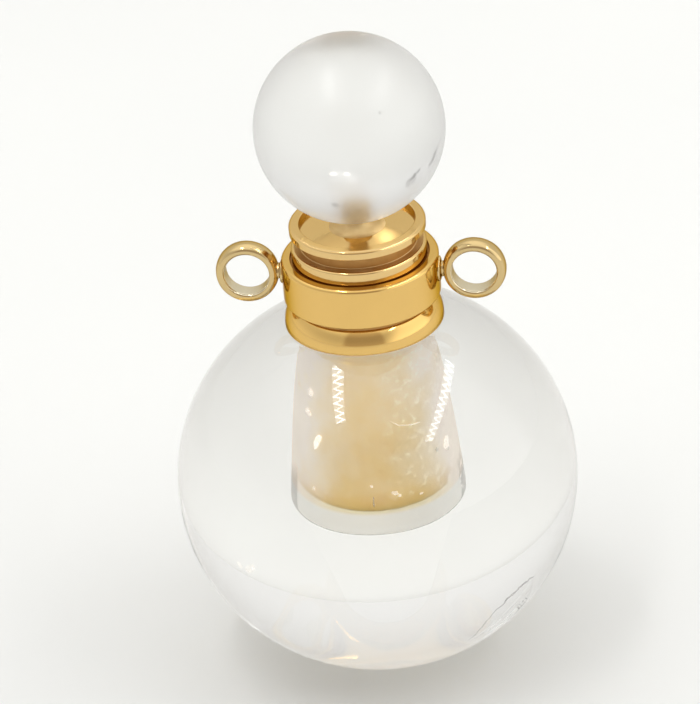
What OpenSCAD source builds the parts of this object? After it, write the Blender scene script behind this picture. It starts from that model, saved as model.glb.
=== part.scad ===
/* [Bottle] */
// Widest diameter of the quartz bottle
bottle_d = 20; // [17:0.5:26]
// Pole to pole height of the bottle's outline, before its flats are ground
bottle_polar_h = 19.5; // [15:0.5:26]
// Diameter of the ground flat that the bottle stands on
base_flat_d = 6.4; // [4:0.2:9]
// Land of the upper flat that shows outside the collar's foot
seat_land = 0.06; // [0.02:0.02:0.4]
// Diameter of the drilled bore
bore_d = 5.6; // [5:0.1:6.6]
// Depth of the bore below the upper flat
bore_depth = 9.95; // [6:0.05:13]
// Rounding where the bore's wall meets its floor
bore_floor_round = 0.2; // [0.05:0.05:0.6]
// Depth of the bevel at the bore's mouth
stone_chamfer = 0.08; // [0.04:0.02:0.2]

/* [Collar] */
// Diameter of the collar's foot bead
foot_d = 7.84; // [7.2:0.02:9]
// Height of the foot bead
foot_h = 1.22; // [0.9:0.02:1.6]
// Radius of the foot bead's bulging side
foot_bulge = 1.5; // [1.2:0.05:1.9]
// Height of the foot bead's widest place above its seat
foot_belly = 0.36; // [0.2:0.02:0.6]
// Diameter of the waist between the foot bead and the band
waist_d = 7; // [6.6:0.02:7.1]
// Height of the open waist
waist_h = 0.24; // [0.1:0.02:0.6]
// Diameter of the band
band_d = 7.74; // [7.3:0.02:9]
// Height of the band
band_h = 2.14; // [1.8:0.02:3.5]
// Rounding of the band's lower edge
band_round_low = 0.1; // [0.05:0.05:0.35]
// Rounding of the band's upper edge
band_round_high = 0.1; // [0.05:0.05:0.3]
// Diameter of the neck bore, which the stopper's plug goes into
neck_bore_d = 4.7; // [4:0.1:4.8]
// Length of the spigot that is cemented into the bottle's bore
spigot_len = 1.6; // [0.6:0.1:3]

/* [Liner] */
// Radial gap round the liner, the closed tube that stands in the bore and holds the perfume
liner_gap = 0.1; // [0.05:0.01:0.3]
// Thickness of the liner's wall and floor
liner_wall = 0.24; // [0.2:0.02:0.4]
// Clear height between the liner's closed end and the bore's floor
liner_clear = 0.77; // [0.3:0.01:2]
// Rounding round the liner's closed end
liner_round = 0.5; // [0.45:0.05:1]

/* [Loops] */
// Diameter of the hole in each side loop
loop_hole_d = 2.2; // [1.6:0.1:3]
// Thickness of the loop's wire, measured outwards from its hole
loop_wire = 0.46; // [0.35:0.02:0.7]
// Width of the loop's wire along the hole
loop_w = 0.98; // [0.6:0.02:1.4]
// Rounding of the loop's outer edges
loop_round_out = 0.3; // [0.1:0.02:0.34]
// Clear gap between the band and the loop
loop_gap = 0.16; // [0.05:0.01:0.6]
// Diameter of the stem that is soldered between the band and the loop
stem_d = 0.96; // [0.5:0.02:1.2]
// Height of the loops' centres above the band's lower edge
loop_rise = 1.23; // [0.9:0.01:1.8]

/* [Stopper cap] */
// Diameter of the flange that rests on the collar
flange_d = 6.64; // [5.6:0.02:7.4]
// Height of the flange
flange_h = 0.66; // [0.4:0.02:1.2]
// Rounding of the flange's upper edge
flange_round = 0.14; // [0.05:0.01:0.2]
// Diameter of the groove between the flange and the rim
groove_d = 5.7; // [4.8:0.1:5.8]
// Height of the groove
groove_h = 0.54; // [0.2:0.02:1]
// Diameter of the dish's rim
rim_d = 6.7; // [6.3:0.02:7.6]
// Diameter of the rim's underside, where its bevel starts
rim_under_d = 6; // [5.9:0.02:6.2]
// Height of the rim
rim_h = 0.64; // [0.5:0.02:1]
// Height of the bevel under the rim
rim_bevel_h = 0.38; // [0.2:0.02:0.45]
// Width of the rim's lip, from the rim's edge to the dish
lip_w = 0.5; // [0.3:0.02:0.7]
// Fall of the lip towards its outer edge
lip_fall = 0.14; // [0.04:0.01:0.2]
// Depth of the dish below the lip
dish_depth = 0.3; // [0.1:0.02:0.5]
// Diameter of the boss in the dish, which carries the ball
boss_d = 1.4; // [1.2:0.1:3]
// Height of the boss above the lip
boss_rise = 0.36; // [0.1:0.02:0.8]
// Diameter of the hidden peg that holds the ball
peg_d = 0.85; // [0.8:0.05:1.1]
// Height of the peg above the boss
peg_h = 2.3; // [1:0.1:2.9]

/* [Stopper plug] */
// Length of the plug below the flange
plug_len = 3.1; // [2:0.1:4]
// Pitch of the plug's thread crests
thread_pitch = 0.5; // [0.4:0.05:0.8]
// Depth of the thread between its crests
thread_depth = 0.22; // [0.1:0.02:0.3]

/* [Stopper ball] */
// Diameter of the quartz ball on the stopper
ball_d = 9.3; // [8:0.1:12]
// Depth of the hole that is drilled up into the ball
ball_hole_depth = 3.25; // [3:0.05:4.2]
// Rounding at the closed end of that hole
ball_hole_round = 0.2; // [0.05:0.05:0.2]

/* [Clearances] */
// Gap between pieces that are cemented or rest on each other
seat_gap = 0.02; // [0.01:0.01:0.04]
// Radial gap of the spigot in the bottle's bore, filled by cement on the real one
cement_gap = 0.05; // [0.02:0.01:0.1]
// Radial gap of the plug in the neck bore
plug_gap = 0.06; // [0.02:0.01:0.1]
// Radial gap of the peg in the ball's hole
peg_gap = 0.05; // [0.02:0.01:0.1]

/* [Hidden] */
$fn = 96;

quartz_colour = [0.93, 0.93, 0.9, 0.45];
gold_colour = [0.87, 0.68, 0.34];

// Heights, all from the flat that the bottle stands on
seat_flat_d = foot_d + 2 * seat_land;
centre_z = pole_reach(base_flat_d);
seat_z = centre_z + pole_reach(seat_flat_d);
bore_floor_z = seat_z - bore_depth;
collar_z = seat_z + seat_gap;
waist_z = collar_z + foot_h;
band_z = waist_z + waist_h;
band_top_z = band_z + band_h;
spigot_z = collar_z - spigot_len;
liner_z = bore_floor_z + liner_clear;
liner_top_z = spigot_z - seat_gap;
loop_z = band_z + loop_rise;
flange_z = band_top_z + seat_gap;
groove_z = flange_z + flange_h;
rim_z = groove_z + groove_h;
lip_z = rim_z + rim_h;
boss_z = lip_z + boss_rise;
ball_low_z = boss_z + seat_gap;
ball_z = ball_low_z + ball_d / 2;

// Radii that follow from the mating pieces
bore_r = bore_d / 2;
spigot_r = bore_r - cement_gap;
liner_r = bore_r - liner_gap;
plug_r = neck_bore_d / 2 - plug_gap;
ball_hole_r = peg_d / 2 + peg_gap;
loop_out_r = loop_hole_d / 2 + loop_wire;
loop_x = band_d / 2 + loop_gap + loop_out_r;

// Where a thread crest starts and ends, as shares of the pitch
crest_from = 0.35;
crest_to = 0.65;

// Height above the bottle's centre at which its outline has the diameter d
function pole_reach(d) = bottle_polar_h / 2 * sqrt(1 - pow(d / bottle_d, 2));

// Half of a turned step, from the axis out to radius r, with both outer corners rounded
module turned_step(r, z_low, z_high, round_low, round_high) {
    translate([0, z_low + round_low]) square([r, z_high - z_low - round_low - round_high]);
    translate([0, z_low]) square([r - round_low, z_high - z_low]);
    translate([0, z_low]) square([r - round_high, z_high - z_low]);
    translate([r - round_low, z_low + round_low]) circle(r = round_low);
    translate([r - round_high, z_high - round_high]) circle(r = round_high);
}

module bottle_outline() {
    intersection() {
        translate([0, centre_z]) scale([1, bottle_polar_h / bottle_d]) circle(d = bottle_d);
        square([bottle_d, seat_z]);
    }
}

// The bore, rounded at its floor, with a small bevel at its mouth
module bore_outline() {
    turned_step(bore_r, bore_floor_z, seat_z + bore_r, bore_floor_round, bore_floor_round);
    polygon([
        [0, seat_z - stone_chamfer], [bore_r, seat_z - stone_chamfer],
        [bore_r + 2 * stone_chamfer, seat_z + stone_chamfer], [0, seat_z + stone_chamfer]
    ]);
}

// The closed tube under the collar's spigot, rounded at its floor and cut square at its mouth
module liner_outline() {
    inner_round = liner_round - liner_wall;
    intersection() {
        difference() {
            turned_step(liner_r, liner_z, collar_z, liner_round, liner_round);
            turned_step(liner_r - liner_wall, liner_z + liner_wall, seat_z + spigot_len,
                inner_round, inner_round);
        }
        square([bore_r, liner_top_z]);
    }
}

module bottle_body() {
    color(quartz_colour)
        rotate_extrude() difference() {
            bottle_outline();
            bore_outline();
        }
}

// The foot bead, whose bulging side is widest a little above its seat
module bead_outline() {
    bulge_x = foot_d / 2 - foot_bulge;
    translate([0, collar_z]) square([bulge_x, foot_h]);
    intersection() {
        translate([bulge_x, collar_z + foot_belly]) circle(r = foot_bulge);
        translate([0, collar_z]) square([foot_d, foot_h]);
    }
}

// Bead, waist, band and spigot as one turned outline, open at the neck bore
module collar_outline() {
    difference() {
        union() {
            bead_outline();
            translate([0, collar_z]) square([waist_d / 2, foot_h + waist_h + band_round_low]);
            turned_step(band_d / 2, band_z, band_top_z, band_round_low, band_round_high);
            translate([0, spigot_z]) square([spigot_r, spigot_len + foot_h]);
        }
        translate([0, spigot_z - spigot_len])
            square([neck_bore_d / 2, band_top_z + band_h - spigot_z + spigot_len]);
    }
}

module side_loop() {
    translate([loop_x, 0, loop_z]) rotate([90, 0, 0]) rotate_extrude() difference() {
        turned_step(loop_out_r, -loop_w / 2, loop_w / 2, loop_round_out, loop_round_out);
        translate([0, -loop_w]) square([loop_hole_d / 2, 2 * loop_w]);
    }
    // The stem runs from inside the band's wall to the middle of the loop's wire
    stem_start = (band_d + neck_bore_d) / 4;
    translate([stem_start, 0, loop_z]) rotate([0, 90, 0])
        cylinder(d = stem_d, h = loop_x - loop_hole_d / 2 - loop_wire / 4 - stem_start);
}

module liner_cup() {
    color(gold_colour) rotate_extrude() liner_outline();
}

module neck_collar() {
    color(gold_colour) {
        rotate_extrude() collar_outline();
        for (side = [0, 180]) rotate([0, 0, side]) side_loop();
    }
}

// Outline of the dish's rim and lip, down to the middle of the cap
module rim_outline() {
    rim_r = rim_d / 2;
    lip_in_r = rim_r - lip_w;
    polygon([
        [0, rim_z], [rim_under_d / 2, rim_z], [rim_r, rim_z + rim_bevel_h],
        [rim_r, lip_z - lip_fall], [lip_in_r, lip_z], [lip_in_r, lip_z - dish_depth],
        [0, lip_z - dish_depth]
    ]);
}

// Outline of the boss, which flares out into the dish's floor
module boss_outline() {
    flare_r = boss_z - lip_z + dish_depth;
    difference() {
        translate([0, rim_z]) square([boss_d / 2 + flare_r, boss_z - rim_z]);
        translate([boss_d / 2 + flare_r, boss_z]) circle(r = flare_r);
    }
}

// Outline of the plug: crests of one pitch each, below a plain neck under the flange
module plug_outline() {
    crests = floor((plug_len - thread_pitch) / thread_pitch);
    root_r = plug_r - thread_depth;
    end_z = flange_z - plug_len;
    crest_sides = [[0, root_r], [crest_from, plug_r], [crest_to, plug_r]];
    crest_points = [for (i = [0:crests - 1], side = crest_sides)
        [side[1], end_z + (i + side[0]) * thread_pitch]];
    polygon(concat(
        [[0, end_z]], crest_points,
        [[root_r, end_z + crests * thread_pitch], [root_r, flange_z + flange_h / 2],
         [0, flange_z + flange_h / 2]]
    ));
}

module stopper_cap() {
    color(gold_colour) {
        rotate_extrude() {
            plug_outline();
            turned_step(flange_d / 2, flange_z, groove_z, flange_round / 2, flange_round);
            translate([0, flange_z + flange_h / 2])
                square([groove_d / 2, flange_h / 2 + groove_h + rim_bevel_h / 2]);
            rim_outline();
            boss_outline();
            translate([0, rim_z]) square([peg_d / 2, boss_z + peg_h - rim_z]);
        }
    }
}

module stopper_ball() {
    color(quartz_colour) difference() {
        translate([0, 0, ball_z]) sphere(d = ball_d);
        rotate_extrude() turned_step(ball_hole_r, ball_low_z - peg_h, ball_low_z + ball_hole_depth,
            ball_hole_round, ball_hole_round);
    }
}

bottle_body();
liner_cup();
neck_collar();
stopper_cap();
stopper_ball();
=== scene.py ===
"""Looks of the quartz bottle pendant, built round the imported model."""

import math

import bmesh
import bpy
from mathutils import Matrix, Vector, noise


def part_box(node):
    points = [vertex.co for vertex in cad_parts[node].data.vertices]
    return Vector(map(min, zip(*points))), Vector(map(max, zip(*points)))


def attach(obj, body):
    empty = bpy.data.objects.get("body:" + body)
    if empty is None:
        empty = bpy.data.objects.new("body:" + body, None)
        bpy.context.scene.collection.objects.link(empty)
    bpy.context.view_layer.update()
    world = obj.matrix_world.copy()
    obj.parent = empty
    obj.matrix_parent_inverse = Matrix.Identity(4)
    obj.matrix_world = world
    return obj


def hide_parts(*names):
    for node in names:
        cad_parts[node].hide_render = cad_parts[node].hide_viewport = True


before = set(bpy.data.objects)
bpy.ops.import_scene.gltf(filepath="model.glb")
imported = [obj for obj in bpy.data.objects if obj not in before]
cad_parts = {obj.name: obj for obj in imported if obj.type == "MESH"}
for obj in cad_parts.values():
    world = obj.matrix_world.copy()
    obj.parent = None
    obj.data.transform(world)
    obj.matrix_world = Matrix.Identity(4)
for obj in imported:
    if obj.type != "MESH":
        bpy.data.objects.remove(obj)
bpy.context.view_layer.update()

# Sizes in millimetres: the part's own, with finer edges and another belly, rim bevel and seat
MM = 0.001
SEAT_GAP = 0.02
BOTTLE_R = 10.0
POLAR_R = 9.75
BASE_FLAT_R = 3.2
BORE_R = 2.8
BORE_DEPTH = 9.95
BORE_FLOOR_ROUND = 0.2
STONE_BEVEL = 0.08
BASE_EDGE_W, BASE_EDGE_H = 0.02, 0.015
SEAT_EDGE_W, SEAT_EDGE_H = 0.04, 0.02

FOOT_R = 3.92
FOOT_H = 1.22
FOOT_BULGE = 1.5
FOOT_BELLY = 0.14
FOOT_BEVEL_W = 0.1
FOOT_EDGE_W, FOOT_EDGE_H = 0.06, 0.015
FOOT_ARC_LOW, FOOT_ARC_HIGH = 0.06, 0.05
SEAT_LAND = 0.06
SEAT_FLAT_R = FOOT_R + SEAT_LAND
WAIST_R = 3.5
WAIST_H = 0.24
BAND_R = 3.87
BAND_H = 2.14
BAND_LOW_ROUND = 0.1
BAND_TOP_ROUND = 0.2
NECK_BORE_R = 2.35
SPIGOT_R = 2.75
SPIGOT_LEN = 1.6

LINER_R = 2.7
LINER_WALL = 0.24
LINER_ROUND = 0.5
LINER_LIP_ROUND = 0.04
LINER_EDGE_H = 0.13

LOOP_HOLE_R = 1.1
LOOP_WIRE = 0.46
LOOP_W = 0.98
LOOP_GAP = 0.16
LOOP_RISE = 1.23
STEM_R = 0.48
SOLDER_SPREAD = 0.14
SOLDER_LUMPS = 0.22

FLANGE_R = 3.32
FLANGE_H = 0.66
RECESS_R = FLANGE_R + 0.1
GROOVE_R = 2.85
GROOVE_H = 0.54
RIM_R = 3.35
RIM_UNDER_R = 3.0
RIM_H = 0.64
RIM_BEVEL_H = 0.2
LIP_W = 0.5
LIP_ROUND = 0.16
SEAT_SINK = 0.16
DISH_DEPTH = 0.3
BOSS_R = 0.7
BOSS_RISE = 0.36
PEG_R = 0.425
PEG_H = 2.3
PLUG_R = 2.29
PLUG_LEN = 3.1
THREAD_PITCH = 0.5
THREAD_DEPTH = 0.22
THREAD_CREST = 1.4
THREAD_RUN_OUT = 0.3
THREAD_FROM_TIP, THREAD_FROM_SEAT = 0.15, 0.25

BALL_R = 4.65
BALL_HOLE_R = 0.475
BALL_HOLE_DEPTH = 3.25
BALL_HOLE_FLARE = 0.02
BALL_HOLE_DRIFT = 0.38
BALL_HOLE_STRAIGHT = 1.0

# How near to a surface a face's middle still counts as lying on it
TOUCH = 0.01

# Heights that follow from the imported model's boxes
CENTRE_Z = POLAR_R * math.sqrt(1 - (BASE_FLAT_R / BOTTLE_R) ** 2)
SEAT_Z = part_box("bottle_body")[1].z / MM
BORE_FLOOR_Z = SEAT_Z - BORE_DEPTH
LINER_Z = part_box("liner_cup")[0].z / MM
LINER_TOP_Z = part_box("liner_cup")[1].z / MM
COLLAR_Z = SEAT_Z + SEAT_GAP
SPIGOT_Z = COLLAR_Z - SPIGOT_LEN
WAIST_Z = COLLAR_Z + FOOT_H
BAND_Z = WAIST_Z + WAIST_H
BAND_TOP_Z = BAND_Z + BAND_H
LOOP_Z = BAND_Z + LOOP_RISE
LOOP_OUT_R = LOOP_HOLE_R + LOOP_WIRE
LOOP_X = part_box("neck_collar")[1].x / MM - LOOP_OUT_R
PLUG_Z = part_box("stopper_cap")[0].z / MM
FLANGE_Z = PLUG_Z + PLUG_LEN
GROOVE_Z = FLANGE_Z + FLANGE_H
RIM_Z = GROOVE_Z + GROOVE_H
LIP_Z = RIM_Z + RIM_H
BOSS_Z = LIP_Z + BOSS_RISE
BALL_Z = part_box("stopper_ball")[1].z / MM - BALL_R
BALL_LOW_Z = BALL_Z - BALL_R

# Studio: the hair of air under the base, and the height of the strip lights
FLOOR_GAP = 0.02
STRIP_Z = 269

# Camera: how far off and from which angles it sees the bottle's middle
CAMERA_DISTANCE = 260.0
CAMERA_ELEVATION = 31.0
CAMERA_AZIMUTH = 8.0
CAMERA_ROLL = 4.7
PIXELS_PER_MM = 20.0
IMAGE_SIZE = (700, 704)
CENTRE_PX = (377.6, 473.0)


# Outlines, as lists of (radius, height) in millimetres

def arc(centre, radius, start, end, step=4.0):
    """Points on a circle from the start angle to the end angle, in degrees."""
    count = max(2, int(abs(end - start) / step))
    turns = [math.radians(start + (end - start) * i / count) for i in range(count + 1)]
    return [(centre[0] + radius * math.cos(t), centre[1] + radius * math.sin(t)) for t in turns]


def rounded(corners, step=9.0):
    """An outline through corners (r, z, fillet radius), each corner turned into an arc."""
    points = []
    count = len(corners)
    for i, (r, z, fillet) in enumerate(corners):
        here = Vector((r, z))
        if fillet <= 0:
            points.append((r, z))
            continue
        back = (Vector(corners[i - 1][:2]) - here).normalized()
        ahead = (Vector(corners[(i + 1) % count][:2]) - here).normalized()
        half = back.angle(ahead) / 2
        reach = fillet / math.tan(half)
        middle = here + (back + ahead).normalized() * fillet / math.sin(half)
        first, last = here + back * reach - middle, here + ahead * reach - middle
        sweep = first.angle_signed(last)
        pieces = max(2, int(math.degrees(abs(sweep)) / step))
        for k in range(pieces + 1):
            turned = Matrix.Rotation(-sweep * k / pieces, 2) @ first
            points.append(tuple(middle + turned))
    return points


def held(points, hold=0.02):
    """The same outline with points added near the ends of its straight runs, so that flats shade flat."""
    result = []
    for here, ahead in zip(points, points[1:]):
        a, b = Vector(here), Vector(ahead)
        result.append(tuple(a))
        if (b - a).length > 5 * hold:
            step = (b - a).normalized() * hold
            result += [tuple(a + step), tuple(b - step)]
    return result + [tuple(points[-1])]


# Meshes

def linked(name, mesh):
    """An object of that name, made of the mesh that was built in code."""
    data = bpy.data.meshes.new(name)
    mesh.to_mesh(data)
    mesh.free()
    piece = bpy.data.objects.new(name, data)
    bpy.context.scene.collection.objects.link(piece)
    return piece


def spin(name, points, closed=False, segments=160, materials=()):
    """Turns an outline about Z into a closed mesh."""
    mesh = bmesh.new()
    rings = []
    for r, z in points:
        if r < 1e-6:
            rings.append([mesh.verts.new((0, 0, z * MM))])
            continue
        turns = [2 * math.pi * k / segments for k in range(segments)]
        rings.append([mesh.verts.new((r * MM * math.cos(t), r * MM * math.sin(t), z * MM)) for t in turns])
    following = rings[1:] + (rings[:1] if closed else [])
    for low, high in zip(rings, following):
        for k in range(segments):
            n = (k + 1) % segments
            corners = [low[k % len(low)], low[n % len(low)], high[n % len(high)], high[k % len(high)]]
            corners = list(dict.fromkeys(corners))
            if len(corners) > 2:
                mesh.faces.new(corners).smooth = True
    bmesh.ops.recalc_face_normals(mesh, faces=mesh.faces)
    piece = linked(name, mesh)
    for material in materials:
        piece.data.materials.append(material)
    return piece


def placed(piece, matrix):
    """Puts the piece's place into its mesh, so that its object stays at the origin."""
    piece.data.transform(matrix)
    return piece


def painted(piece, number, test):
    """Gives that material number to the faces whose middle (x, y, z), in millimetres, passes the test."""
    for face in piece.data.polygons:
        if test(*(face.center / MM)):
            face.material_index = number
    return piece


def evaluated(piece, name):
    """A plain mesh of the piece with its modifiers run, in place of the piece."""
    bpy.context.view_layer.update()
    graph = bpy.context.evaluated_depsgraph_get()
    data = bpy.data.meshes.new_from_object(piece.evaluated_get(graph))
    bpy.data.objects.remove(piece)
    data.name = name
    result = bpy.data.objects.new(name, data)
    bpy.context.scene.collection.objects.link(result)
    return result


def united(name, pieces):
    """One closed solid out of several that overlap."""
    first, rest = pieces[0], pieces[1:]
    for other in rest:
        join = first.modifiers.new("unite", "BOOLEAN")
        join.operation = "UNION"
        join.solver = "EXACT"
        join.object = other
    result = evaluated(first, name)
    for other in rest:
        bpy.data.objects.remove(other)
    for face in result.data.polygons:
        face.use_smooth = True
    return result


def finished(piece, body, replaces=None, sharp=32):
    """Sets the piece's sharp edges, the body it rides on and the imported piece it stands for."""
    piece.data.set_sharp_from_angle(angle=math.radians(sharp))
    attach(piece, body)
    if replaces:
        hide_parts(replaces)
    return piece


# Node trees

def calc(tree, operation, *values):
    """One math node, fed by numbers and sockets."""
    node = tree.nodes.new("ShaderNodeMath")
    node.operation = operation
    for socket, value in zip(node.inputs, values):
        if isinstance(value, (int, float)):
            socket.default_value = value
        else:
            tree.links.new(value, socket)
    return node.outputs[0]


def fade(tree, value, low, high, start, end, smooth=False):
    """A value between low and high, mapped to one between start and end."""
    node = tree.nodes.new("ShaderNodeMapRange")
    if smooth:
        node.interpolation_type = "SMOOTHSTEP"
    tree.links.new(value, node.inputs["Value"])
    for name, number in (("From Min", low), ("From Max", high), ("To Min", start), ("To Max", end)):
        node.inputs[name].default_value = number
    return node.outputs["Result"]


def tinted(tree, value, dark, light):
    """A colour between dark and light, which are colours or sockets."""
    node = tree.nodes.new("ShaderNodeMix")
    node.data_type = "RGBA"
    for socket, colour in ((node.inputs[6], dark), (node.inputs[7], light)):
        if isinstance(colour, bpy.types.NodeSocket):
            tree.links.new(colour, socket)
        else:
            socket.default_value = (*colour, 1)
    tree.links.new(value, node.inputs[0])
    return node.outputs[2]


# Materials

class Finish:
    """A material with a Principled shader, whose patterns are measured in millimetres on the piece."""

    def __init__(self, name, **values):
        self.material = bpy.data.materials.new(name)
        self.material.use_nodes = True
        self.tree = self.material.node_tree
        self.shader = self.tree.nodes["Principled BSDF"]
        self.place = self.tree.nodes.new("ShaderNodeTexCoord").outputs["Object"]
        for socket, value in values.items():
            self.shader.inputs[socket.replace("_", " ")].default_value = value

    def feed(self, socket, source):
        """Links a pattern to one of the shader's sockets."""
        self.tree.links.new(source, self.shader.inputs[socket])

    def noise(self, per_mm, detail=3.0, roughness=0.5, stretch=(1, 1, 1)):
        """Clouds of about that many to the millimetre."""
        mapping = self.tree.nodes.new("ShaderNodeMapping")
        mapping.inputs["Scale"].default_value = stretch
        self.tree.links.new(self.place, mapping.inputs["Vector"])
        node = self.tree.nodes.new("ShaderNodeTexNoise")
        node.inputs["Scale"].default_value = per_mm / MM
        node.inputs["Detail"].default_value = detail
        node.inputs["Roughness"].default_value = roughness
        self.tree.links.new(mapping.outputs["Vector"], node.inputs["Vector"])
        return node.outputs["Fac"]

    def bump(self, source, height_mm, under=None):
        """A relief of that height from a pattern, laid on the relief under it."""
        node = self.tree.nodes.new("ShaderNodeBump")
        node.inputs["Distance"].default_value = height_mm * MM
        self.tree.links.new(source, node.inputs["Height"])
        if under is not None:
            self.tree.links.new(under, node.inputs["Normal"])
        return node.outputs["Normal"]


def polished_quartz(name, least_rough, most_rough, gloss=0.5, clear=1.0):
    """Clear rock crystal with a slightly wavy polish and faint clouds."""
    finish = Finish(name, IOR=1.544, Transmission_Weight=1.0, Specular_IOR_Level=gloss)
    cloud = finish.noise(0.22, 4.0)
    finish.feed("Base Color", tinted(finish.tree, cloud, [clear * c for c in (0.915, 0.91, 0.893)],
                                     [clear * c for c in (0.965, 0.965, 0.95)]))
    finish.feed("Roughness", fade(finish.tree, finish.noise(0.6, 3.0), 0.1, 0.9, least_rough, most_rough))
    finish.feed("Normal", finish.bump(finish.noise(0.16, 2.0), 0.02))
    return finish.material


def ground_quartz(name, roughness, haze, bend=1.05, rise=(0.0, 1.0), grazing=0.8, speckle=0.0, painted_shade_right=1.0,
                  painted_glow=0.0, tone=(0.99, 0.975, 0.94), warm=(1.0, 0.985, 0.955), low=(0.98, 0.98, 0.95)):
    """Quartz left matt by the drill.

    haze is how white its tiny cracks make it at the first and at the second height of rise, and grazing how
    much whiter it gets where it is seen edge on. Above the rise warm is its tone where it is seen face on,
    on the bore's wall a painted warm light from the gold liner behind it, and tone where it is seen edge on,
    and low is its tone below. speckle is how much its right side sparkles, the painted shade how much darker
    that side is between the sparkles, and the painted glow how much light the cracks emit, more near the top.
    """
    finish = Finish(name, IOR=bend)
    tree = finish.tree
    edge = tree.nodes.new("ShaderNodeLayerWeight")
    edge.inputs["Blend"].default_value = 0.5
    aside = fade(tree, edge.outputs["Facing"], 0.08, 0.6, 0.0, 1.0, smooth=True)
    blotch = finish.noise(0.5, 5.0, 0.62)
    parts = tree.nodes.new("ShaderNodeSeparateXYZ")
    tree.links.new(finish.place, parts.inputs[0])
    x, y, z = parts.outputs
    below = fade(tree, z, rise[0] * MM, (rise[0] + 0.2) * MM, 1.0, 0.0, smooth=True)
    shift = calc(tree, "ADD", calc(tree, "MAXIMUM", aside, below),
                 fade(tree, blotch, 0.35, 0.65, -0.15, 0.15))
    # Face on above the rise the colour is the warm tone, on the bore's wall a painted warm light from the
    # gold behind
    colour = tinted(tree, below, tinted(tree, shift, warm, tone), low)
    white = fade(tree, z, rise[0] * MM, rise[1] * MM, *haze, smooth=True)
    white = calc(tree, "MULTIPLY_ADD", aside, grazing, white)
    white = calc(tree, "MULTIPLY", white, fade(tree, blotch, 0.35, 0.65, 0.85, 1.15))
    if speckle:
        # Painted shade: the colour is darkened towards the right side
        dim = tree.nodes.new("ShaderNodeVectorMath")
        dim.operation = "SCALE"
        tree.links.new(colour, dim.inputs[0])
        tree.links.new(fade(tree, x, 0.0, 2.4 * MM, 1.0, painted_shade_right, smooth=True), dim.inputs["Scale"])
        colour = dim.outputs[0]
        dots = fade(tree, finish.noise(4.0, 3.0, 0.6), 0.53, 0.64, 0.0, speckle, smooth=True)
        right = fade(tree, x, 0.2 * MM, 1.8 * MM, 0.0, 1.0, smooth=True)
        white = calc(tree, "ADD", white, calc(tree, "MULTIPLY", dots, right))
    # Painted glow: the frosted wall emits light, more towards the top
    if painted_glow:
        painted_glow_ramp = fade(tree, z, (rise[1] + 1.5) * MM, (rise[1] + 6.0) * MM, painted_glow, 1.6 * painted_glow)
        finish.feed("Emission Color", tinted(tree, shift, warm, [c * 0.5 for c in tone]))
        finish.feed("Emission Strength", calc(tree, "MULTIPLY", white, painted_glow_ramp))
    finish.feed("Base Color", colour)
    finish.feed("Transmission Weight", calc(tree, "MAXIMUM", calc(tree, "SUBTRACT", 1.0, white), 0.0))
    finish.feed("Roughness", fade(tree, finish.noise(1.6, 4.0), 0.3, 0.7, roughness * 0.9,
                                  min(1.0, roughness * 1.1)))
    finish.feed("Normal", finish.bump(finish.noise(3.0, 5.0, 0.6), 0.004))
    return finish.material


def gold(name, colour, roughness, turning_mm=0.0006, dent_mm=0.006, metallic=1.0):
    """Gold plating with faint turning marks, smears and wear, darker where it is seen edge on."""
    finish = Finish(name, Metallic=metallic, IOR=1.45, Specular_Tint=(0.5, 0.38, 0.2, 1.0))
    smear = finish.noise(0.5, 4.0, 0.6)
    finish.feed("Base Color", tinted(finish.tree, smear, tuple(c * 0.92 for c in colour), colour))
    finish.feed("Roughness", fade(finish.tree, finish.noise(1.4, 5.0, 0.6), 0.25, 0.75, roughness * 0.6,
                                  roughness * 1.6))
    turning = finish.bump(finish.noise(2.0, 2.0, 0.5, stretch=(0.15, 0.15, 6.0)), turning_mm)
    finish.feed("Normal", finish.bump(finish.noise(0.35, 2.0), dent_mm, under=turning))
    return finish.material


def fleck(name, dark, light, alpha=1.0, painted_glow=0.0):
    """A mineral speck or crack inside the stone, with a little painted glow of emitted light where it is a
    painted glint or must read white.
    """
    finish = Finish(name, Roughness=0.5, IOR=1.5, Emission_Color=(1.0, 0.97, 0.9, 1.0),
                    Emission_Strength=painted_glow)
    spots = finish.noise(5.0, 4.0, 0.6)
    finish.feed("Base Color", tinted(finish.tree, spots, dark, light))
    finish.feed("Alpha", fade(finish.tree, spots, 0.35, 0.65, alpha * 0.55, alpha))
    finish.feed("Normal", finish.bump(finish.noise(8.0, 3.0), 0.01))
    return finish.material


def pale_floor():
    """The plain surface, a little lighter behind the bottle than in front of it: painted light and shade."""
    finish = Finish("pale_floor", Roughness=0.7)
    parts = finish.tree.nodes.new("ShaderNodeSeparateXYZ")
    finish.tree.links.new(finish.place, parts.inputs[0])
    # Painted shade darkens the floor in front of the bottle, and painted light brightens it far behind
    near = fade(finish.tree, parts.outputs["Y"], -0.02, 0.03, -0.55, 0.05, smooth=True)
    far = fade(finish.tree, parts.outputs["Y"], 0.1, 0.8, 0.0, 0.6, smooth=True)
    cloud = calc(finish.tree, "ADD", finish.noise(0.02, 3.0), calc(finish.tree, "ADD", near, far))
    finish.feed("Base Color", tinted(finish.tree, cloud, (0.745, 0.75, 0.74), (0.815, 0.818, 0.802)))
    finish.feed("Normal", finish.bump(finish.noise(1.5, 4.0), 0.004))
    return finish.material


GOLD_TONE = (0.83, 0.54, 0.18)
QUARTZ_POLISHED = polished_quartz("quartz_polished", 0.004, 0.014, clear=0.99)
QUARTZ_SATIN = polished_quartz("quartz_satin", 0.28, 0.34, gloss=0.1, clear=0.97)
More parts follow.
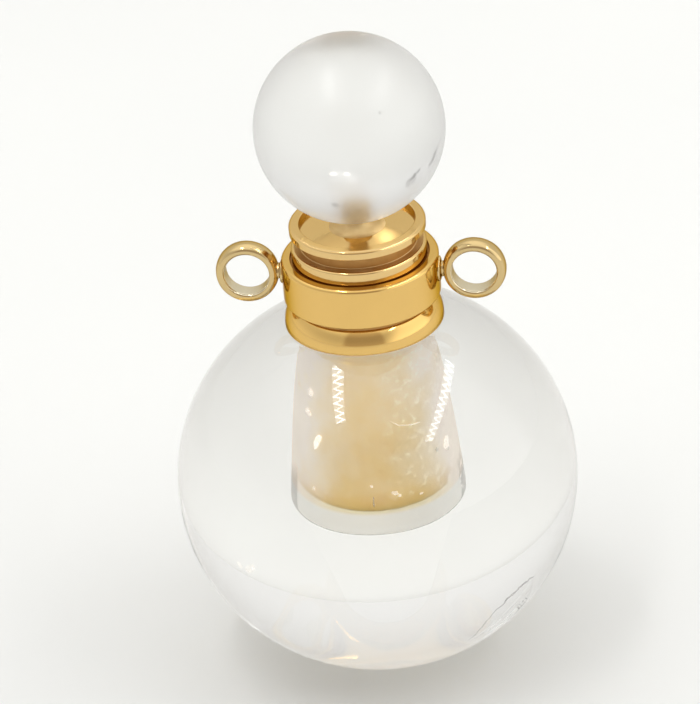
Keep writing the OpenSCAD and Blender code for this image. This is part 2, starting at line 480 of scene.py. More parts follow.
# The bore's wall: painted warm light face on, painted shade on its right side and a painted glow of emitted
# light
QUARTZ_BORE = ground_quartz("quartz_bore_wall", 0.92, (0.08, 0.55), rise=(LINER_Z, LINER_Z + 1.2),
                            grazing=0.5, speckle=0.34, painted_glow=0.22, painted_shade_right=0.86, tone=(1.0, 0.92, 0.83),
                            warm=(0.97, 0.84, 0.5))
QUARTZ_BORE_FLOOR = ground_quartz("quartz_bore_floor", 0.5, (0.06, 0.06), grazing=0.1)
QUARTZ_DRILLED = ground_quartz("quartz_drilled_hole", 0.32, (0.06, 0.06), bend=1.03, grazing=0.0,
                               tone=(1.0, 0.96, 0.94))
GOLD_POLISHED = gold("gold_polished", GOLD_TONE, 0.09)
GOLD_LOOP = gold("gold_loop", (0.7, 0.52, 0.25), 0.1)
# Pale gold: a painted reflection of the bright tent on the inner faces of the loops' holes
GOLD_PAINTED_REFLECTION = gold("gold_painted_pale_reflection", (0.78, 0.7, 0.52), 0.16)
GOLD_CAP = gold("gold_cap", (0.83, 0.575, 0.25), 0.09)
GOLD_SATIN = gold("gold_satin", (0.76, 0.55, 0.27), 0.46, turning_mm=0.001)
# Dark brown gold: painted shade for the collar's waist and recess ring and for the cap's groove and rim
# underside
GOLD_PAINTED_SHADE = gold("gold_painted_shade", (0.5, 0.27, 0.09), 0.46, turning_mm=0.001, metallic=0.85)
GOLD_THREAD = gold("gold_thread", GOLD_TONE, 0.16, turning_mm=0.001)
GOLD_LINER = gold("gold_liner", (1.0, 0.76, 0.24), 0.46, turning_mm=0.001, metallic=0.6)
# Dark olive gold: painted shade for the liner's lower edge
GOLD_PAINTED_EDGE_SHADE = gold("gold_painted_edge_shade", (0.38, 0.32, 0.14), 0.46)
GREY_FLECK = fleck("grey_fleck", (0.3, 0.29, 0.3), (0.6, 0.58, 0.57), alpha=0.5)
# The white and pale specks glow a little, painted light that makes them read white inside the stone; the
# bright glint glows as a painted glint
WHITE_FLECK = fleck("white_fleck", (0.85, 0.83, 0.76), (1.0, 0.98, 0.9), alpha=0.8, painted_glow=0.45)
GREY_VEIL = fleck("grey_veil", (0.55, 0.53, 0.52), (0.75, 0.74, 0.72), alpha=0.3)
BRIGHT_GLINT = fleck("bright_glint", (0.95, 0.94, 0.9), (1.0, 0.99, 0.95), painted_glow=0.75)
PALE_VEIL = fleck("pale_veil", (0.92, 0.85, 0.8), (1.0, 0.96, 0.92), alpha=0.3, painted_glow=0.5)


# Geometry Nodes

def relief_tree():
    """Raises a helical ridge out of a turned wall, where the point attribute relief is above zero."""
    tree = bpy.data.node_groups.new("helical_ridge", "GeometryNodeTree")
    face = tree.interface
    face.new_socket("Geometry", in_out="INPUT", socket_type="NodeSocketGeometry")
    for name, value in (("Pitch", 0.0005), ("Depth", 0.0002), ("Crest", 1.0)):
        face.new_socket(name, in_out="INPUT", socket_type="NodeSocketFloat").default_value = value
    face.new_socket("Finish", in_out="INPUT", socket_type="NodeSocketMaterial")
    face.new_socket("Geometry", in_out="OUTPUT", socket_type="NodeSocketGeometry")
    nodes, links = tree.nodes, tree.links
    given, result = nodes.new("NodeGroupInput"), nodes.new("NodeGroupOutput")
    parts = nodes.new("ShaderNodeSeparateXYZ")
    links.new(nodes.new("GeometryNodeInputPosition").outputs[0], parts.inputs[0])
    x, y, z = parts.outputs
    weight = nodes.new("GeometryNodeInputNamedAttribute")
    weight.data_type = "FLOAT"
    weight.inputs["Name"].default_value = "relief"
    turn = calc(tree, "DIVIDE", calc(tree, "ARCTAN2", y, x), 2 * math.pi)
    phase = calc(tree, "SUBTRACT", calc(tree, "DIVIDE", z, given.outputs["Pitch"]), turn)
    wave = calc(tree, "SINE", calc(tree, "MULTIPLY", phase, 2 * math.pi))
    ridge = calc(tree, "POWER", calc(tree, "MULTIPLY_ADD", wave, 0.5, 0.5), given.outputs["Crest"])
    height = calc(tree, "MULTIPLY", calc(tree, "MULTIPLY", ridge, given.outputs["Depth"]),
                  weight.outputs["Attribute"])
    flat = nodes.new("ShaderNodeCombineXYZ")
    links.new(x, flat.inputs[0])
    links.new(y, flat.inputs[1])
    outward = nodes.new("ShaderNodeVectorMath")
    outward.operation = "NORMALIZE"
    links.new(flat.outputs[0], outward.inputs[0])
    offset = nodes.new("ShaderNodeVectorMath")
    offset.operation = "SCALE"
    links.new(outward.outputs[0], offset.inputs[0])
    links.new(height, offset.inputs["Scale"])
    move = nodes.new("GeometryNodeSetPosition")
    links.new(given.outputs["Geometry"], move.inputs["Geometry"])
    links.new(offset.outputs[0], move.inputs["Offset"])
    real = nodes.new("GeometryNodeRealizeInstances")
    links.new(move.outputs[0], real.inputs[0])
    finish = nodes.new("GeometryNodeSetMaterial")
    links.new(real.outputs[0], finish.inputs["Geometry"])
    links.new(calc(tree, "GREATER_THAN", weight.outputs["Attribute"], 0.0), finish.inputs["Selection"])
    links.new(given.outputs["Finish"], finish.inputs["Material"])
    links.new(finish.outputs[0], result.inputs[0])
    return tree


def scatter_tree():
    """Strews small shards over the faces of a hidden guide surface, and leaves the guide out."""
    tree = bpy.data.node_groups.new("strewn_shards", "GeometryNodeTree")
    face = tree.interface
    face.new_socket("Geometry", in_out="INPUT", socket_type="NodeSocketGeometry")
    for name, value in (("Spacing", 0.0002), ("Density", 1e6), ("Smallest", 0.5), ("Largest", 1.0),
                        ("Size", 0.0001)):
        face.new_socket(name, in_out="INPUT", socket_type="NodeSocketFloat").default_value = value
    face.new_socket("Seed", in_out="INPUT", socket_type="NodeSocketInt").default_value = 1
    face.new_socket("Finish", in_out="INPUT", socket_type="NodeSocketMaterial")
    face.new_socket("Geometry", in_out="OUTPUT", socket_type="NodeSocketGeometry")
    nodes, links = tree.nodes, tree.links
    given, result = nodes.new("NodeGroupInput"), nodes.new("NodeGroupOutput")
    strew = nodes.new("GeometryNodeDistributePointsOnFaces")
    strew.distribute_method = "POISSON"
    for socket, source in (("Mesh", "Geometry"), ("Distance Min", "Spacing"), ("Density Max", "Density"),
                           ("Seed", "Seed")):
        links.new(given.outputs[source], strew.inputs[socket])
    shard = nodes.new("GeometryNodeMeshIcoSphere")
    shard.inputs["Subdivisions"].default_value = 2
    links.new(given.outputs["Size"], shard.inputs["Radius"])
    scale = nodes.new("FunctionNodeRandomValue")
    scale.data_type = "FLOAT"
    links.new(given.outputs["Smallest"], scale.inputs[2])
    links.new(given.outputs["Largest"], scale.inputs[3])
    links.new(given.outputs["Seed"], scale.inputs["Seed"])
    put = nodes.new("GeometryNodeInstanceOnPoints")
    links.new(strew.outputs["Points"], put.inputs["Points"])
    links.new(shard.outputs["Mesh"], put.inputs["Instance"])
    links.new(strew.outputs["Rotation"], put.inputs["Rotation"])
    links.new(scale.outputs[1], put.inputs["Scale"])
    real = nodes.new("GeometryNodeRealizeInstances")
    links.new(put.outputs[0], real.inputs[0])
    finish = nodes.new("GeometryNodeSetMaterial")
    links.new(real.outputs[0], finish.inputs["Geometry"])
    links.new(given.outputs["Finish"], finish.inputs["Material"])
    links.new(finish.outputs[0], result.inputs[0])
    return tree


def run_nodes(piece, tree, name, **values):
    """Runs a node tree on the piece with these inputs, and gives the plain mesh that comes out."""
    modifier = piece.modifiers.new(tree.name, "NODES")
    modifier.node_group = tree
    for socket in tree.interface.items_tree:
        if socket.in_out == "INPUT" and socket.name in values:
            modifier[socket.identifier] = values[socket.name]
    return evaluated(piece, name)


HELICAL_RIDGE = relief_tree()
STREWN_SHARDS = scatter_tree()


# Pieces

CHIP_START, CHIP_END = Vector((4.82, -6.48, 3.49)), Vector((8.0, -5.2, 6.33))
CHIP_ALONG = (CHIP_END - CHIP_START).normalized()
CHIP_OUT = Vector((6.44, -6.67, -3.65)).normalized()
CHIP_DOWN = CHIP_ALONG.cross(CHIP_OUT).normalized()
CHIP_DEPTH = 0.022
CHIP_REACH = 1.9
CHIP_FINE_R = 2.7
CRUMBS_MIDDLE = Vector((7.25, -4.95, 4.6))


def chip_depth(place):
    """How deep the chip below the bottle's waist is at a place on its surface, in millimetres."""
    share = (place - CHIP_START).dot(CHIP_ALONG) / (CHIP_END - CHIP_START).length
    below = (place - CHIP_START).dot(CHIP_DOWN) + 0.12 * noise.noise(place * 1.3)
    if not 0 < share < 1 or below < 0:
        return 0.0
    swell = math.sin(math.pi * share) ** 0.7
    reach = CHIP_REACH * swell
    if below > reach:
        return 0.0
    ripple = 1 + 0.12 * math.sin(7 * below + 4 * share) + 0.35 * noise.noise(place * 2.2)
    return CHIP_DEPTH * swell * min(1, below / 0.2) * (1 - below / reach) * ripple


def chip(piece):
    """Breaks a shallow shell-shaped chip out of the bottle's lower side, where the mesh is made finer."""
    mesh = bmesh.new()
    mesh.from_mesh(piece.data)
    middle = (CHIP_START + CHIP_END) / 2 + CHIP_OUT * 0.3 + CHIP_DOWN * 0.9

    def near(place):
        return (place / MM - middle).length < CHIP_FINE_R

    edges = [e for e in mesh.edges if near(e.verts[0].co) and near(e.verts[1].co)]
    bmesh.ops.subdivide_edges(mesh, edges=edges, cuts=4, use_grid_fill=True)
    for vertex in mesh.verts:
        place = vertex.co / MM
        if near(vertex.co):
            off = place - Vector((0, 0, CENTRE_Z))
            outward = Vector((off.x, off.y, off.z * (BOTTLE_R / POLAR_R) ** 2)).normalized()
            onto = off / math.sqrt((off.x ** 2 + off.y ** 2) / BOTTLE_R ** 2 + off.z ** 2 / POLAR_R ** 2)
            vertex.co = (onto + Vector((0, 0, CENTRE_Z)) - outward * chip_depth(place)) * MM
    mesh.to_mesh(piece.data)
    mesh.free()


def make_bottle():
    """Its outline runs from the middle of the base, over the mouth and down the bore to the bore's floor."""
    low_t = -math.acos(BASE_FLAT_R / BOTTLE_R)
    high_t = math.acos(SEAT_FLAT_R / BOTTLE_R)
    steps = 120
    turns = [low_t + (high_t - low_t) * i / steps for i in range(1, steps)]
    points = [(0.0, 0.0), (BASE_FLAT_R * 0.5, 0.0), (BASE_FLAT_R - 0.15, 0.0)]
    points += [(BASE_FLAT_R - BASE_EDGE_W, BASE_EDGE_H)]
    points += [(BOTTLE_R * math.cos(t), CENTRE_Z + POLAR_R * math.sin(t)) for t in turns]
    points += [(SEAT_FLAT_R, SEAT_Z - SEAT_EDGE_H), (SEAT_FLAT_R - SEAT_EDGE_W, SEAT_Z)]
    points += [(BORE_R + 2 * STONE_BEVEL, SEAT_Z)]
    wall_top, wall_low = SEAT_Z - STONE_BEVEL, BORE_FLOOR_Z + BORE_FLOOR_ROUND
    rows = 40
    points += [(BORE_R, wall_top - (wall_top - wall_low) * i / rows) for i in range(rows)]
    points += arc((BORE_R - BORE_FLOOR_ROUND, wall_low), BORE_FLOOR_ROUND, 0, -90, 15)
    points += [((BORE_R - BORE_FLOOR_ROUND) * (1 - i / 10), BORE_FLOOR_Z) for i in range(1, 10)]
    points += [(0.0, BORE_FLOOR_Z)]
    piece = spin("bottle_quartz", points, segments=200,
                 materials=(QUARTZ_POLISHED, QUARTZ_BORE, QUARTZ_BORE_FLOOR))
    painted(piece, 1, lambda x, y, z: math.hypot(x, y) < BORE_R + TOUCH and z > BORE_FLOOR_Z - TOUCH)
    painted(piece, 2, lambda x, y, z: math.hypot(x, y) < BORE_R - 2 * TOUCH
            and BORE_FLOOR_Z - TOUCH < z < BORE_FLOOR_Z + BORE_FLOOR_ROUND)
    chip(piece)
    return finished(piece, "bottle", "bottle_body", sharp=40)


def make_liner():
    """The thin cup in the bore, with painted shade round its lower edge."""
    inner_r, inner_round = LINER_R - LINER_WALL, LINER_ROUND - LINER_WALL
    points = rounded([
        (0, LINER_Z, 0), (LINER_R, LINER_Z, LINER_ROUND), (LINER_R, LINER_TOP_Z, LINER_LIP_ROUND),
        (inner_r, LINER_TOP_Z, LINER_LIP_ROUND), (inner_r, LINER_Z + LINER_WALL, inner_round),
        (0, LINER_Z + LINER_WALL, 0)])
    piece = spin("liner_gold", held(points), segments=128, materials=(GOLD_LINER, GOLD_PAINTED_EDGE_SHADE))
    # Painted shade: a dark olive band round the cup's lower edge
    painted(piece, 1, lambda x, y, z: z < LINER_Z + LINER_EDGE_H and math.hypot(x, y) > LINER_R - LINER_ROUND)
    return finished(piece, "bottle", "liner_cup")


def collar_outline():
    """Up the spigot's outside, the foot bead, the waist and the band, and down the neck bore."""
    belly_z = COLLAR_Z + FOOT_BELLY
    low = -math.degrees(math.asin((FOOT_BELLY - FOOT_ARC_LOW) / FOOT_BULGE))
    high = math.degrees(math.asin((FOOT_H - FOOT_BELLY - FOOT_ARC_HIGH) / FOOT_BULGE))
    bulge = arc((FOOT_R - FOOT_BULGE, belly_z), FOOT_BULGE, low, high, 2.0)
    points = rounded([(NECK_BORE_R, SPIGOT_Z, 0.05), (SPIGOT_R, SPIGOT_Z, 0.06), (SPIGOT_R, COLLAR_Z, 0)])
    points += [(FOOT_R - FOOT_BEVEL_W - FOOT_EDGE_W, COLLAR_Z)]
    points += [(FOOT_R - FOOT_BEVEL_W, COLLAR_Z + FOOT_EDGE_H)] + bulge
    points += rounded([
        (bulge[-1][0] - FOOT_EDGE_W, WAIST_Z, 0), (WAIST_R, WAIST_Z, 0), (WAIST_R, BAND_Z, 0.03),
        (BAND_R, BAND_Z, BAND_LOW_ROUND), (BAND_R, BAND_TOP_Z, BAND_TOP_ROUND), (RECESS_R, BAND_TOP_Z, 0.03),
        (RECESS_R, BAND_TOP_Z - SEAT_SINK, 0.03), (NECK_BORE_R, BAND_TOP_Z - SEAT_SINK, 0.08),
        (NECK_BORE_R, SPIGOT_Z, 0)])[:-1]
    return points


def make_loop(side):
    """The ring and the soldered stem on the side of +X for 1 and of -X for -1."""
    half, out = LOOP_W / 2, LOOP_OUT_R
    section = rounded([(LOOP_HOLE_R, -half, 0.14), (out - 0.08, -half, 0.24), (out, -0.12, 0.4),
                       (out, 0.12, 0.4), (out - 0.08, half, 0.24), (LOOP_HOLE_R, half, 0.14)], 7.0)
    ring = spin("loop_ring", section, closed=True, segments=112)
    placed(ring, Matrix.Translation((LOOP_X * MM, 0, LOOP_Z * MM)) @ Matrix.Rotation(math.pi / 2, 4, "X"))
    start, end = BAND_R - 0.5, LOOP_X - LOOP_HOLE_R - 0.16
    face = BAND_R + LOOP_GAP * 0.4
    stem = spin("loop_stem", rounded([
        (0, start, 0), (STEM_R + SOLDER_SPREAD, start, 0), (STEM_R + SOLDER_SPREAD, face, 0.08),
        (STEM_R - 0.08, face + 0.05, 0.05), (STEM_R - 0.08, face + 0.16, 0.1),
        (STEM_R + 0.05, end - 0.06, 0.05), (STEM_R - 0.1, end, 0), (0, end, 0)]), segments=64)
    placed(stem, Matrix.Translation((0, 0, LOOP_Z * MM)) @ Matrix.Rotation(math.pi / 2, 4, "Y"))
    for vertex in stem.data.vertices:
        lump = noise.noise(vertex.co / MM * 1.7 + Vector((side * 3.0, 0, 0)))
        across = Vector((0, vertex.co.y, vertex.co.z - LOOP_Z * MM))
        vertex.co += across * SOLDER_LUMPS * lump
    for piece in (ring, stem):
        placed(piece, Matrix.Rotation(math.pi if side < 0 else 0, 4, "Z"))
    return [ring, stem]


def make_collar():
    """The turned collar and its two soldered loops, as one piece of metal."""
    turned = spin("collar_turned", held(collar_outline()), closed=True)
    piece = united("collar_gold", [turned] + make_loop(1) + make_loop(-1))
    piece.data.materials.clear()
    for material in (GOLD_POLISHED, GOLD_PAINTED_SHADE, GOLD_LOOP, GOLD_PAINTED_REFLECTION):
        piece.data.materials.append(material)
    painted(piece, 0, lambda x, y, z: True)
    # Painted shade: the waist and the ring sunk round the cap's seat take the dark brown gold
    painted(piece, 1, lambda x, y, z: WAIST_Z - TOUCH < z < BAND_Z + 2 * TOUCH
            and math.hypot(x, y) < WAIST_R + 0.2)
    painted(piece, 1, lambda x, y, z: z > BAND_TOP_Z - SEAT_SINK - TOUCH
            and math.hypot(x, y) < RECESS_R + TOUCH)
    painted(piece, 2, lambda x, y, z: z > BAND_Z and math.hypot(x, y) > BAND_R + 2 * TOUCH)
    # Painted reflection: the inner faces of the loops' holes take the pale gold
    painted(piece, 3, lambda x, y, z: math.hypot(abs(x) - LOOP_X, z - LOOP_Z) < LOOP_HOLE_R + 0.05
            and abs(y) < LOOP_W / 2)
    return finished(piece, "bottle", "neck_collar")


def make_cap():
    """The stopper's turned metal, from the threaded plug up to the peg that holds the ball."""
    root = PLUG_R - THREAD_DEPTH
    lip_in, dish_z = RIM_R - LIP_W, LIP_Z - DISH_DEPTH
    flare = BOSS_Z - dish_z
    low, high, rows = PLUG_Z + THREAD_FROM_TIP, FLANGE_Z - SEAT_SINK - THREAD_FROM_SEAT, 80
    points = rounded([(0, PLUG_Z, 0), (root - 0.1, PLUG_Z, 0.05), (root, PLUG_Z + 0.1, 0.05)])
    points += [(root, low + (high - low) * i / rows) for i in range(rows + 1)]
    points += held(rounded([
        (root, FLANGE_Z - SEAT_SINK, 0.04), (FLANGE_R, FLANGE_Z - SEAT_SINK, 0.05),
        (FLANGE_R, GROOVE_Z, 0.14), (GROOVE_R, GROOVE_Z, 0.05), (GROOVE_R, RIM_Z, 0.05),
        (RIM_UNDER_R, RIM_Z, 0.05),
        (RIM_R, RIM_Z + RIM_BEVEL_H, 0.06), (RIM_R, LIP_Z, LIP_ROUND),
        (lip_in, LIP_Z, 0.06), (lip_in - 0.04, dish_z, 0.12)])
        + arc((BOSS_R + flare, BOSS_Z), flare, 270, 182, 6)
        + rounded([(BOSS_R, BOSS_Z, 0), (PEG_R, BOSS_Z, 0.04), (PEG_R, BOSS_Z + PEG_H, 0.08),
                   (0, BOSS_Z + PEG_H, 0)]))
    piece = spin("cap_turned", points, materials=(GOLD_CAP, GOLD_PAINTED_SHADE, GOLD_SATIN))
    # Painted shade: the groove's wall and the rim's underside take the dark brown gold
    painted(piece, 1, lambda x, y, z: GROOVE_Z + 0.03 < z < RIM_Z + 0.15
            and math.hypot(x, y) < FLANGE_R - 0.15)
    painted(piece, 2, lambda x, y, z: abs(z - GROOVE_Z) < 0.03 and math.hypot(x, y) < FLANGE_R - 0.15
            or z > dish_z - 0.005 and math.hypot(x, y) < lip_in - 0.06)
    marks = piece.data.attributes.new("relief", "FLOAT", "POINT")
    for vertex, mark in zip(piece.data.vertices, marks.data):
        z = vertex.co.z / MM
        if abs(vertex.co.xy.length / MM - root) < 1e-3 and low <= z <= high:
            mark.value = max(0.0, min(1.0, (z - low) / THREAD_RUN_OUT, (high - z) / THREAD_RUN_OUT))
    piece = run_nodes(piece, HELICAL_RIDGE, "cap_gold", Pitch=THREAD_PITCH * MM, Depth=THREAD_DEPTH * MM,
                      Crest=THREAD_CREST, Finish=GOLD_THREAD)
    return finished(piece, "stopper", "stopper_cap")


def make_ball():
    """The ball, whose drilled hole wanders a little to one side above the peg."""
    top, r = BALL_LOW_Z + BALL_HOLE_DEPTH, BALL_HOLE_R
    wide = r + BALL_HOLE_FLARE
    start = -math.degrees(math.acos((r + 0.04) / BALL_R))
    dome = arc((0, top - wide), wide, 90, 0, 9)
    points = [(0, top)] + dome[1:] + [(wide, top - wide - 0.15 * i) for i in range(1, 11)]
    points += [(r, BALL_LOW_Z + 0.8), (r, BALL_LOW_Z + 0.4), (r, BALL_LOW_Z + 0.1)]
    sphere = arc((0, BALL_Z), BALL_R, start, 90, 1.4)
    sphere[-1] = (0.0, BALL_Z + BALL_R)
    piece = spin("ball_quartz", points + sphere, materials=(QUARTZ_SATIN, QUARTZ_DRILLED))
    painted(piece, 1, lambda x, y, z: math.hypot(x, y) < wide + TOUCH and z < top - wide * 0.5)
    for vertex in piece.data.vertices:
        height = vertex.co.z / MM - BALL_LOW_Z
        inside = vertex.co.xy.length < (wide + TOUCH) * MM
        if inside and BALL_HOLE_STRAIGHT < height < BALL_HOLE_DEPTH + TOUCH:
            share = (height - BALL_HOLE_STRAIGHT) / (BALL_HOLE_DEPTH - BALL_HOLE_STRAIGHT)
            vertex.co.x -= BALL_HOLE_DRIFT * MM * share ** 2
    return finished(piece, "stopper", "stopper_ball", sharp=40)


# Flaws in the stone

def sliver(name, middle, size, turn, seed, material, body):
    """A small irregular flat speck inside the stone, of that size along its own axes."""
    mesh = bmesh.new()
    bmesh.ops.create_icosphere(mesh, subdivisions=3, radius=1.0)
    place = Matrix.Translation(Vector(middle) * MM) @ turn.to_matrix().to_4x4()
    for vertex in mesh.verts:
        ragged = 1 + 0.45 * noise.noise(vertex.co * 1.6 + Vector((seed, 0, 0)))
        vertex.co = place @ Vector([c * s * MM * ragged / 2 for c, s in zip(vertex.co, size)])
    for face in mesh.faces:
        face.smooth = True
    piece = linked(name, mesh)
    piece.data.materials.append(material)
    return finished(piece, body)


def wander(place):
    """A ragged step aside for a place on a crack, the same in each run."""
    return Vector([noise.noise(place * 3.0 + Vector((0, 0, apart))) for apart in (0.0, 19.7, 43.1)])


def strand(name, path, thickness, material, body, sides=8, rings=40):
    """A thin ragged crack along a path of places in millimetres, pointed at both ends."""
    mesh = bmesh.new()
    stops = [Vector(place) for place in path]
    loops = []
    for i in range(rings + 1):
        along = i / rings * (len(stops) - 1)
        k = min(int(along), len(stops) - 2)
        place = stops[k].lerp(stops[k + 1], along - k)
        ahead = (stops[k + 1] - stops[k]).normalized()
        over = ahead.orthogonal().normalized()
        place += wander(place) * thickness
        if i in (0, rings):
            loops.append([mesh.verts.new(place * MM)])
            continue
        r = thickness / 2 * math.sin(math.pi * i / rings) ** 0.5 * (1 + 0.6 * noise.noise(place * 5.0))
        aside = ahead.cross(over)
        turns = [2 * math.pi * n / sides for n in range(sides)]
        loops.append([mesh.verts.new((place + (over * math.cos(t) + aside * math.sin(t)) * r) * MM)
                      for t in turns])
    for low, high in zip(loops, loops[1:]):
        for n in range(sides):
            m = (n + 1) % sides
            corners = [low[n % len(low)], low[m % len(low)], high[m % len(high)], high[n % len(high)]]
            mesh.faces.new(list(dict.fromkeys(corners))).smooth = True
    bmesh.ops.recalc_face_normals(mesh, faces=mesh.faces)
    piece = linked(name, mesh)
    piece.data.materials.append(material)
    return finished(piece, body)


def leaning(outward, lean):
    """A turn that lays a flat speck along the stone's surface and leans it by that many degrees."""
    facing = Vector((0, -1, 0)).rotation_difference(Vector(outward))
    return facing @ Matrix.Rotation(math.radians(lean), 3, "Y").to_quaternion()


def make_flaws():
    """Specks and cracks, placed from the ball's middle in the ball and from the base in the bottle."""
    ball = Vector((0, 0, BALL_Z))
    for i, (place, size, lean, material) in enumerate([
            ((1.88, -3.0, 2.3), (0.09, 0.04, 0.13), -20, GREY_FLECK),
            ((2.9, -2.5, -1.45), (0.6, 0.06, 0.5), -40, GREY_VEIL),
            ((-0.41, -3.78, -2.0), (0.3, 0.05, 0.3), 0, GREY_VEIL),
            # Two painted glints: glowing slivers where the drilled hole's dome would reflect the strip lights
            ((-0.32, -4.28, -0.16), (0.3, 0.03, 0.17), -8, BRIGHT_GLINT),
            ((0.32, -4.28, -0.18), (0.25, 0.03, 0.17), 8, BRIGHT_GLINT),
            ((0.85, 1.15, 4.3), (0.16, 0.16, 0.08), 0, WHITE_FLECK)]):
        sliver(f"ball_speck_{i + 1}", ball + Vector(place), size, leaning(place, lean), 4.1 * i, material,
               "stopper")
    for i, (path, thickness, material) in enumerate([
            ([(3.0, -2.9, -1.35), (3.3, -2.7, -1.05), (3.45, -2.6, -0.85)], 0.16, GREY_FLECK),
            ([(3.9, -1.9, -1.2), (4.05, -1.7, -0.8), (4.2, -1.45, -0.4)], 0.2, GREY_FLECK)]):
        strand(f"ball_crack_{i + 1}", [ball + Vector(place) for place in path], thickness, material,
               "stopper")
    for i, (place, size, lean, material) in enumerate([
            ((-1.88, -2.13, 11.86), (0.27, 0.05, 0.75), 22, WHITE_FLECK),
            ((-2.04, -1.97, 9.75), (0.14, 0.05, 0.18), 0, PALE_VEIL),
            ((0.13, -2.86, 10.33), (0.12, 0.05, 0.1), 30, PALE_VEIL),
            ((0.96, -2.69, 9.94), (0.24, 0.05, 0.16), 15, PALE_VEIL),
            ((1.12, -2.63, 9.8), (0.12, 0.05, 0.12), 0, PALE_VEIL),
            ((1.85, -2.18, 9.63), (0.14, 0.05, 0.1), 0, PALE_VEIL),
            ((-2.17, -1.86, 14.11), (0.3, 0.05, 0.45), 10, PALE_VEIL),
            ((-2.26, -1.73, 12.98), (0.35, 0.05, 0.35), 0, PALE_VEIL),
            ((2.72, -0.89, 10.97), (0.4, 0.05, 0.5), 0, PALE_VEIL),
            ((2.47, -1.43, 11.02), (0.14, 0.05, 0.16), 0, GREY_VEIL),
            ((2.74, -0.83, 10.67), (0.14, 0.05, 0.12), 0, GREY_VEIL),
            ((-4.67, -3.75, 7.3), (0.6, 0.1, 0.36), -30, PALE_VEIL),
            ((-5.02, -3.25, 7.24), (0.3, 0.1, 0.2), 20, PALE_VEIL)]):
        sliver(f"bottle_speck_{i + 1}", place, size, leaning((*place[:2], 0), lean), 2.3 * i, material,
               "bottle")
    for i, (path, thickness, material) in enumerate([
            ([(4.7, -6.4, 3.5), (5.15, -6.6, 4.0), (5.7, -6.72, 4.78), (6.24, -6.62, 5.42)], 0.12, GREY_VEIL),
            ([(6.1, -6.62, 5.3), (6.7, -6.38, 5.8), (7.18, -6.02, 6.1), (7.6, -5.56, 6.28),
              (8.0, -4.95, 6.3)], 0.15, GREY_FLECK),
            ([(1.0, -2.7, 13.21), (1.41, -2.51, 12.88), (1.82, -2.25, 12.74), (2.17, -1.91, 12.65)], 0.04,
             PALE_VEIL),
            ([(0.19, -2.86, 9.9), (0.16, -2.86, 9.45)], 0.05, GREY_FLECK)]):
        strand(f"bottle_crack_{i + 1}", path, thickness, material, "bottle")


def make_chip_crumbs():
    """Small dark breaks strewn over the chip's lower half."""
    guide = spin("crumb_guide", [(0.0, 0.0), (0.3, 0.0), (0.55, 0.0)], segments=24)
    across = CHIP_OUT.cross(Vector((0, 0, 1))).normalized()
    turn = Matrix((across, CHIP_OUT.cross(across), CHIP_OUT)).transposed().to_4x4()
    placed(guide, Matrix.Translation(CRUMBS_MIDDLE * MM) @ turn)
    piece = run_nodes(guide, STREWN_SHARDS, "chip_crumbs", Spacing=0.16 * MM, Density=2e7, Smallest=0.3,
                      Largest=1.0, Size=0.05 * MM, Seed=7, Finish=GREY_FLECK)
    return finished(piece, "bottle")


# Studio

def make_floor():
    """A hair below the bottle, so that the light passes between its ground base and the floor."""
    mesh = bmesh.new()
    bmesh.ops.create_grid(mesh, x_segments=8, y_segments=8, size=3.0,
                          matrix=Matrix.Translation((0, 0, -FLOOR_GAP * MM)))
    floor = linked("floor", mesh)
    floor.data.materials.append(pale_floor())


def make_strip(name, ends_mm, width_mm, power, zigzags):
    """A strip light that shines down from the tent's ceiling, with a row of small lamps in zigzags."""
    data = bpy.data.lights.new(name, "AREA")
    data.shape = "RECTANGLE"
    start, end = Vector(ends_mm[0]) * MM, Vector(ends_mm[1]) * MM
    data.size, data.size_y = width_mm * MM, (end - start).length
    data.energy = power
    data.use_nodes = True
    tree = data.node_tree
    parts = tree.nodes.new("ShaderNodeSeparateXYZ")
    tree.links.new(tree.nodes.new("ShaderNodeNewGeometry").outputs["Parametric"], parts.inputs[0])
    sway = calc(tree, "PINGPONG", calc(tree, "MULTIPLY", parts.outputs["Y"], 2.0 * zigzags), 1.0)
    off = calc(tree, "ABSOLUTE", calc(tree, "SUBTRACT", parts.outputs["X"],
                                      calc(tree, "MULTIPLY_ADD", sway, 0.76, 0.12)))
    lit = calc(tree, "MULTIPLY_ADD", calc(tree, "LESS_THAN", off, 0.15), 2.1, 0.4)
    tree.links.new(lit, tree.nodes["Emission"].inputs["Strength"])
    light = bpy.data.objects.new(name, data)
    bpy.context.scene.collection.objects.link(light)
    along = (end - start).normalized()
    across = along.cross(Vector((0, 0, 1))).normalized()
    turn = Matrix((across, along, across.cross(along))).transposed().to_4x4()
    light.matrix_world = Matrix.Translation((start + end) / 2) @ turn


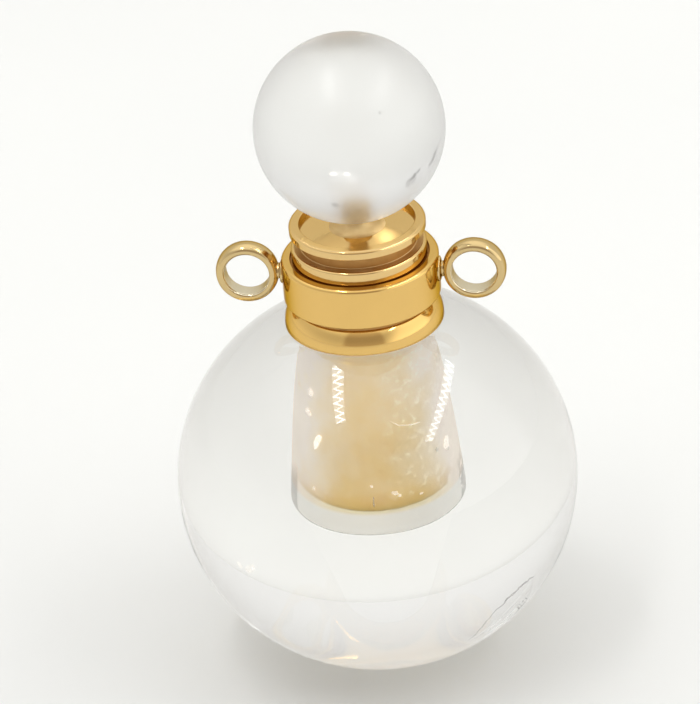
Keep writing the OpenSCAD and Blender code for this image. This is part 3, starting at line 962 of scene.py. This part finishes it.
def make_world():
    """A white tent, brighter overhead and behind, with a dim opening where the camera looks in."""
    world = bpy.data.worlds.new("studio")
    world.use_nodes = True
    tree = world.node_tree
    parts = tree.nodes.new("ShaderNodeSeparateXYZ")
    tree.links.new(tree.nodes.new("ShaderNodeTexCoord").outputs["Generated"], parts.inputs[0])
    x, y, z = parts.outputs
    low = fade(tree, z, 0.0, 0.4, 0.94, 0.77, smooth=True)
    behind = calc(tree, "MULTIPLY", fade(tree, z, 0.0, 0.4, 0.0, 0.09, smooth=True),
                  fade(tree, y, 0.2, 0.6, 0.0, 1.0, smooth=True))
    low = calc(tree, "ADD", low, behind)
    high = fade(tree, z, 0.5, 0.85, 0.0, 0.5, smooth=True)
    wall = calc(tree, "MULTIPLY", calc(tree, "ADD", low, high),
                fade(tree, y, -0.8, 0.2, 0.86, 1.0, smooth=True))
    window = calc(tree, "MULTIPLY", fade(tree, x, 0.5, 0.85, 0.0, 0.65, smooth=True),
                  fade(tree, y, 0.2, 0.5, 1.0, 0.0, smooth=True))
    wall = calc(tree, "ADD", wall, window)
    ahead = calc(tree, "MAXIMUM", calc(tree, "MULTIPLY", y, -1.0), 0.001)
    sideways = calc(tree, "ABSOLUTE", calc(tree, "SUBTRACT", calc(tree, "DIVIDE", x, ahead), 0.1))
    height = calc(tree, "DIVIDE", z, ahead)
    opening = calc(tree, "MULTIPLY", fade(tree, sideways, 0.45, 0.65, 1.0, 0.0, smooth=True),
                   fade(tree, height, 1.1, 1.5, 1.0, 0.0, smooth=True))
    opening = calc(tree, "MULTIPLY", opening, fade(tree, height, 0.0, 0.06, 0.0, 1.0, smooth=True))
    shade = calc(tree, "MULTIPLY", wall, calc(tree, "MULTIPLY_ADD", opening, -0.32, 1.0))
    background = tree.nodes["Background"]
    tree.links.new(tinted(tree, opening, (1.0, 1.0, 0.985), (1.0, 0.9, 0.82)), background.inputs["Color"])
    tree.links.new(shade, background.inputs["Strength"])
    bpy.context.scene.world = world


def make_camera():
    """Looks past the bottle's middle, so that the middle falls on its place in the picture."""
    elevation, azimuth = math.radians(CAMERA_ELEVATION), math.radians(CAMERA_AZIMUTH)
    middle = Vector((0, 0, CENTRE_Z))
    towards = Vector((math.sin(azimuth) * math.cos(elevation), -math.cos(azimuth) * math.cos(elevation),
                      math.sin(elevation)))
    right = Vector((math.cos(azimuth), math.sin(azimuth), 0))
    up = towards.cross(right)
    roll = math.radians(CAMERA_ROLL)
    image_right = right * math.cos(roll) - up * math.sin(roll)
    image_up = up * math.cos(roll) + right * math.sin(roll)
    place = middle + towards * CAMERA_DISTANCE
    width, height = IMAGE_SIZE
    aim = (middle + image_right * (width / 2 - CENTRE_PX[0]) / PIXELS_PER_MM
           - image_up * (height / 2 - CENTRE_PX[1]) / PIXELS_PER_MM)
    back = (place - aim).normalized()
    side = image_up.cross(back).normalized()
    data = bpy.data.cameras.new("camera")
    data.sensor_fit = "HORIZONTAL"
    data.sensor_width = 36.0
    data.lens = PIXELS_PER_MM * (place - aim).length / width * data.sensor_width
    data.clip_start = 0.01
    camera = bpy.data.objects.new("camera", data)
    bpy.context.scene.collection.objects.link(camera)
    turn = Matrix((side, back.cross(side), back)).transposed().to_4x4()
    camera.matrix_world = Matrix.Translation(place * MM) @ turn
    bpy.context.scene.camera = camera


def make_studio():
    """The tent, its lights and the camera, with enough bounces for light to cross the stone."""
    make_floor()
    make_world()
    make_strip("strip_left", ((-71, -133, STRIP_Z), (-71, 47, STRIP_Z)), 28, 0.115, 8.5)
    make_strip("strip_right", ((213, -183, STRIP_Z), (185, 136, STRIP_Z)), 34, 0.17, 13)
    make_camera()
    scene = bpy.context.scene
    scene.view_settings.view_transform = "Standard"
    scene.cycles.max_bounces = 32
    scene.cycles.transmission_bounces = 24
    scene.cycles.glossy_bounces = 12
    scene.cycles.transparent_max_bounces = 16


make_bottle()
make_liner()
make_collar()
make_cap()
make_ball()
make_flaws()
make_chip_crumbs()
make_studio()
